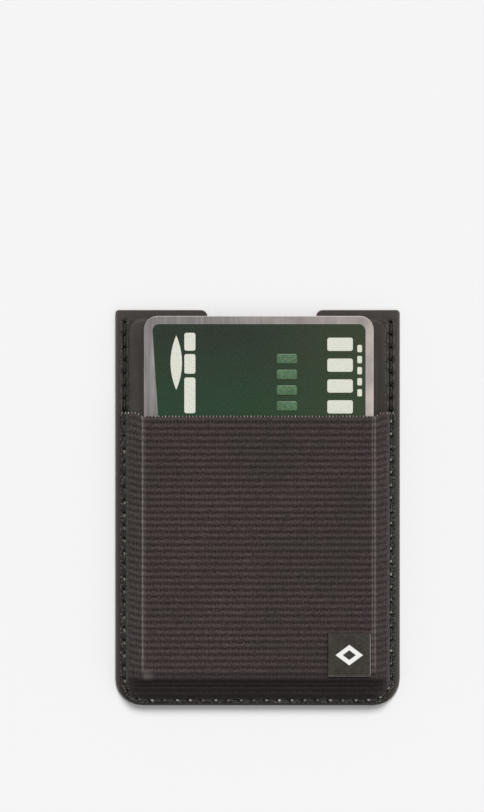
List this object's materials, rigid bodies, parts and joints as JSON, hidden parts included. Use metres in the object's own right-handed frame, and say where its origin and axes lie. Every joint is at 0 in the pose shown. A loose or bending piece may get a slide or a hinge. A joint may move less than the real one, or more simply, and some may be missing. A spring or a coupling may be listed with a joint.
{
  "type": "magnetic phone wallet",
  "caption": "Slim card wallet with a sewn leather back, a magnet ring inside it, and a ribbed elastic pocket on its front with a card in it.",
  "frame": {"origin": "middle of the flat back face, on the surface that the wallet lies on", "axes": "+X to the right of someone who looks at the front, +Y towards the pocket's mouth, +Z out of the front"},
  "size_m": [0.0674, 0.0936, 0.0066],
  "materials": {
    "cover_leather": "fine-grained, semi-matte coated leather with a darker painted edge",
    "lining_leather": "smooth coated leather, semi-matte",
    "board_plastic": "moulded, fine-textured",
    "magnet_nickel": "nickel plated",
    "backing_steel": "rolled sheet steel",
    "webbing": "ribbed woven elastic, matte",
    "thread": "twisted polyester thread with a slight sheen",
    "label_rubber": "moulded soft rubber, matte",
    "mark_rubber": "moulded soft rubber, white",
    "card_plastic": "laminated card, silver border round a dark green field"
  },
  "bodies": {
    "root": {"back_cover": "cover_leather", "magnet_board": "board_plastic", "ring_magnet_01": "magnet_nickel", "ring_magnet_02": "magnet_nickel", "ring_magnet_03": "magnet_nickel", "ring_magnet_04": "magnet_nickel", "ring_magnet_05": "magnet_nickel", "ring_magnet_06": "magnet_nickel", "ring_magnet_07": "magnet_nickel", "ring_magnet_08": "magnet_nickel", "ring_magnet_09": "magnet_nickel", "ring_magnet_10": "magnet_nickel", "ring_magnet_11": "magnet_nickel", "ring_magnet_12": "magnet_nickel", "ring_magnet_13": "magnet_nickel", "ring_magnet_14": "magnet_nickel", "ring_magnet_15": "magnet_nickel", "ring_magnet_16": "magnet_nickel", "ring_magnet_17": "magnet_nickel", "ring_magnet_18": "magnet_nickel", "ring_yoke": "backing_steel", "bar_magnet": "magnet_nickel", "bar_yoke": "backing_steel", "shield_foil": "backing_steel", "lining": "lining_leather", "pocket_webbing": "webbing", "upper_thread": "thread", "lower_thread": "thread", "card": "card_plastic", "label_patch": "label_rubber", "label_mark": "mark_rubber"}
  },
  "joints": []
}
